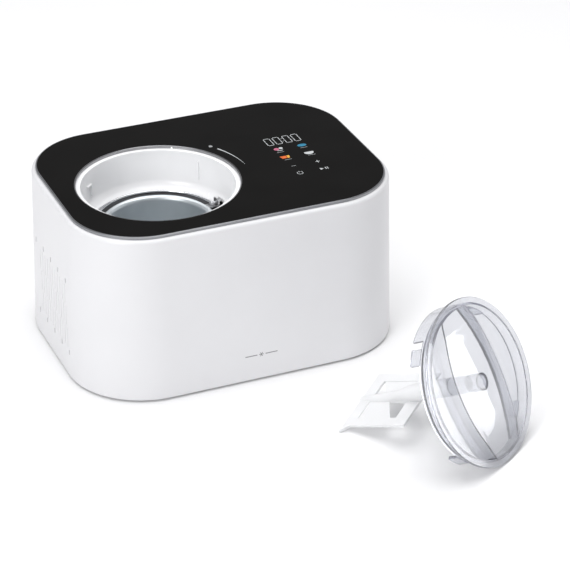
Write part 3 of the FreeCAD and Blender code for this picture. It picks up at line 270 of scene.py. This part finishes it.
def piece(name, mesh, body, slot, material=None):
    """Link a mesh as a piece that rides on a body and takes its finish from a slot."""
    item = bpy.data.objects.new(name, mesh)
    scene.collection.objects.link(item)
    mesh.materials.append(material or finish_of(slot))
    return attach(item, body)


def prisms(name, outlines, height, at=Matrix.Identity(4)):
    """Thin closed plates, one for each outline (metres), standing on the plane that at places."""
    shape = bmesh.new()
    for outline in outlines:
        low = [shape.verts.new((x, y, 0)) for x, y in outline]
        high = [shape.verts.new((x, y, height)) for x, y in outline]
        shape.faces.new(low[::-1])
        shape.faces.new(high)
        for i, corner in enumerate(low):
            after = (i + 1) % len(low)
            shape.faces.new((corner, low[after], high[after], high[i]))
    bmesh.ops.triangulate(shape, faces=[f for f in shape.faces if len(f.verts) > 4])
    bmesh.ops.recalc_face_normals(shape, faces=shape.faces)
    shape.transform(at)
    mesh = bpy.data.meshes.new(name)
    shape.to_mesh(mesh)
    shape.free()
    return mesh


def arc(x, y, radius, start, end, steps=24, squash=1.0):
    """Points along an arc, angles in degrees."""
    spots = []
    for i in range(steps + 1):
        angle = math.radians(start + (end - start) * i / steps)
        spots.append((x + radius * math.cos(angle), y + radius * squash * math.sin(angle)))
    return spots


def stroke(path, start_width, end_width=None):
    """The outline of a line of some width drawn along an open path."""
    end_width = start_width if end_width is None else end_width
    left, right = [], []
    for i, (x, y) in enumerate(path):
        before, after = path[max(i - 1, 0)], path[min(i + 1, len(path) - 1)]
        dx, dy = after[0] - before[0], after[1] - before[1]
        length = math.hypot(dx, dy)
        half = (start_width + (end_width - start_width) * i / (len(path) - 1)) / 2
        nx, ny = -dy / length * half, dx / length * half
        left.append((x + nx, y + ny))
        right.append((x - nx, y - ny))
    return left + right[::-1]


def bar(x, y, width, height):
    return [(x - width / 2, y - height / 2), (x + width / 2, y - height / 2),
            (x + width / 2, y + height / 2), (x - width / 2, y + height / 2)]


def in_metres(outlines):
    """The same outlines, from millimetres to metres."""
    return [[(x * MM, y * MM) for x, y in outline] for outline in outlines]


PRINT_HEIGHT = 0.05 * MM


def printed(name, outlines, material):
    """Marks on the panel, in millimetres from the panel's centre."""
    at = Matrix.Translation((MACHINE.x, MACHINE.y, PANEL_TOP))
    mesh = prisms(name, in_metres(outlines), PRINT_HEIGHT, at)
    return piece(name, mesh, "housing", "black_glass", material)


def digit_zero(x, y, width=8.2, height=19.0, stroke_w=0.85, gap=0.5):
    """A seven-segment nought: six lit bars with mitred gaps between them."""
    half_w, half_h = width / 2, height / 2
    across = width - stroke_w - 2 * gap
    upright = half_h - stroke_w / 2 - 1.5 * gap
    bars = []
    for up in (1, -1):
        bars.append(bar(x, y + up * (half_h - stroke_w / 2), across, stroke_w))
    for side in (-1, 1):
        for up in (-1, 1):
            middle = y + up * (upright / 2 + gap / 2)
            bars.append(bar(x + side * (half_w - stroke_w / 2), middle, stroke_w, upright - gap))
    return bars


# Millimetres from the panel's centre.
CLOCK_Y = 32
DIGIT_XS = (87.6, 98.8, 111.2, 122.4)
COLON_X = 105
LEFT_KEYS, RIGHT_KEYS = 90.5, 121
CUPS_TOP, CUPS_FOOT = -9, -15
ADJUST_Y, BOTTOM_Y = -37, -56.5
CAPTIONS = ((LEFT_KEYS, 2.2), (RIGHT_KEYS, 3.4), (LEFT_KEYS + 1, -19), (RIGHT_KEYS + 1, -18))
LOCK_AT = (20.1, 49.2)
LOCK_ARC_RADIUS = 109.5


def ink(name, colour, shade, glow):
    """A printed colour, lit from behind when it glows."""
    return surface(name, colour, 0.5, shade=shade, blotch=500, glow=glow)


def panel_marks():
    white = ink("mark_white", (0.5, 0.52, 0.53), 0.05, 0.08)
    grey = ink("mark_grey", (0.36, 0.37, 0.38), 0.08, 0.0)
    clock(white)
    dessert_icons(white)
    key_icons(white, grey)
    lock_marks(white, grey)


def clock(white):
    digits = []
    for x in DIGIT_XS:
        digits += digit_zero(x, CLOCK_Y)
    for dot in (3.5, -3.5):
        digits.append(bar(COLON_X, CLOCK_Y + dot, 0.9, 1.1))
    printed("clock_digits", digits, white)


def dessert_icons(white):
    """Four programme keys: scoops, a chilled drink, a cup and a bowl."""
    pink = ink("mark_pink", (0.5, 0.13, 0.22), 0.4, 0.08)
    blue = ink("mark_blue", (0.02, 0.2, 0.33), 0.5, 0.1)
    orange = ink("mark_orange", (0.7, 0.13, 0.02), 0.4, 0.1)
    yellow = ink("mark_yellow", (0.8, 0.4, 0.05), 0.3, 0.1)
    left, right = LEFT_KEYS, RIGHT_KEYS
    printed("icon_scoop", [arc(left - 1.6, 11, 3.2, 0, 345, 20)], pink)
    printed("icon_scoop_light", [arc(left + 4.2, 12, 2.4, 0, 345, 16), bar(left + 1.4, 6.6, 7, 1.2)], white)
    printed("icon_drink", [arc(right, 10, 5.6, 0, 350, 28, 0.62)], blue)
    top, foot = CUPS_TOP, CUPS_FOOT
    cup = [(left - 6, top), (left - 4.6, foot), (left + 1.6, foot), (left + 1.6, top)]
    printed("icon_cup", [cup], orange)
    cup_slice = [(left + 2.2, top), (left + 2.2, foot), (left + 4.8, foot), (left + 6, top)]
    printed("icon_cup_slice", [cup_slice], yellow)
    rim = [(right + 5.4, top - 0.2), (right - 5.4, top - 0.2)]
    printed("icon_bowl", [arc(right, top - 1.4, 6, 180, 360, 20, 0.9) + rim], white)


def key_icons(white, grey):
    """Minus, plus, power and start keys, and plain bars where captions would be."""
    left, right = LEFT_KEYS, RIGHT_KEYS
    printed("icon_minus", [bar(left, ADJUST_Y, 5.2, 0.8)], grey)
    upright = [bar(right, ADJUST_Y + side * 1.8, 0.9, 2.4) for side in (1, -1)]
    printed("icon_plus", [bar(right, ADJUST_Y, 5, 0.9), *upright], white)
    halves = ((120, 240), (240.5, 420))
    ring = [stroke(arc(left, BOTTOM_Y, 3.4, start, end, 20), 0.6) for start, end in halves]
    printed("icon_power", [*ring, bar(left, BOTTOM_Y + 3.1, 0.6, 3.2)], white)
    triangle = [(right - 5, BOTTOM_Y + 2.5), (right - 5, BOTTOM_Y - 2.5), (right - 0.6, BOTTOM_Y)]
    pause = [bar(right + x, BOTTOM_Y, 1, 5) for x in (1.8, 4.2)]
    printed("icon_start", [triangle, *pause], white)
    printed("caption_lines", [bar(x, y, 9, 0.7) for x, y in CAPTIONS], grey)


def lock_marks(white, grey):
    """A tapering arc round the well that shows which way the lid turns, and a small padlock."""
    well_x, well_y = (WELL - MACHINE).xy / MM
    sweep = arc(well_x, well_y, LOCK_ARC_RADIUS, 30, 2.6, 40)
    printed("lock_arc", [stroke(sweep, 1.9, 0.25)], white)
    x, y = LOCK_AT
    shackle = stroke(arc(x, y + 0.9, 1.35, 0, 180, 14), 0.6)
    printed("lock_icon", [bar(x, y - 1.0, 4.2, 3.4), shackle], grey)


# The front face leans back by 4.6 mm over its height of 201.9 mm.
FACE_LEAN = math.atan(4.6 / 201.9)
MARK_HEIGHT = 34.0 * MM
MARK_SHIFT = 3.5 * MM
MARK_OUT = 0.03 * MM
STAR_REACH = 2.9


def front_mark():
    """A small generic frost star between two short lines, low on the front face."""
    grey = surface("mark_front", (0.2, 0.2, 0.21), 0.45, shade=0.08, blotch=400)
    outlines = [bar(side * 12.5, 0, 15, 1.1) for side in (-1, 1)]
    for i in range(3):
        turn = math.radians(60 * i)
        tip = (STAR_REACH * math.cos(turn), STAR_REACH * math.sin(turn))
        outlines.append(stroke([(-tip[0], -tip[1]), tip], 0.75))
    face_y = SHELL_LOW.y + (MARK_HEIGHT - SHELL_LOW.z) * math.tan(FACE_LEAN)
    upright = Matrix.Rotation(math.pi / 2 - FACE_LEAN, 4, "X")
    at = Matrix.Translation((MACHINE.x + MARK_SHIFT, face_y - MARK_OUT, MARK_HEIGHT)) @ upright
    mesh = prisms("front_star", in_metres(outlines), PRINT_HEIGHT, at)
    piece("front_star", mesh, "housing", "white_shell", grey)


# ---- floor -------------------------------------------------------------------------------


FLOOR_REACH = 14
FLOOR_DROP = 0.2 * MM


def floor():
    """A pale table, a hair below the feet."""
    reach = FLOOR_REACH
    corners = [(x * reach, y * reach, -FLOOR_DROP) for x, y in ((-1, -1), (1, -1), (1, 1), (-1, 1))]
    mesh = bpy.data.meshes.new("Floor")
    mesh.from_pydata(corners, [], [(0, 1, 2, 3)])
    pale = surface("floor_pale", (0.93, 0.93, 0.935), 0.8, shade=0.004, blotch=2, specular=0.1)
    mesh.materials.append(pale)
    item = bpy.data.objects.new("Floor", mesh)
    scene.collection.objects.link(item)


# ---- the scene ---------------------------------------------------------------------------

camera()
studio()
dress_frame()
panel_marks()
front_mark()
floor()
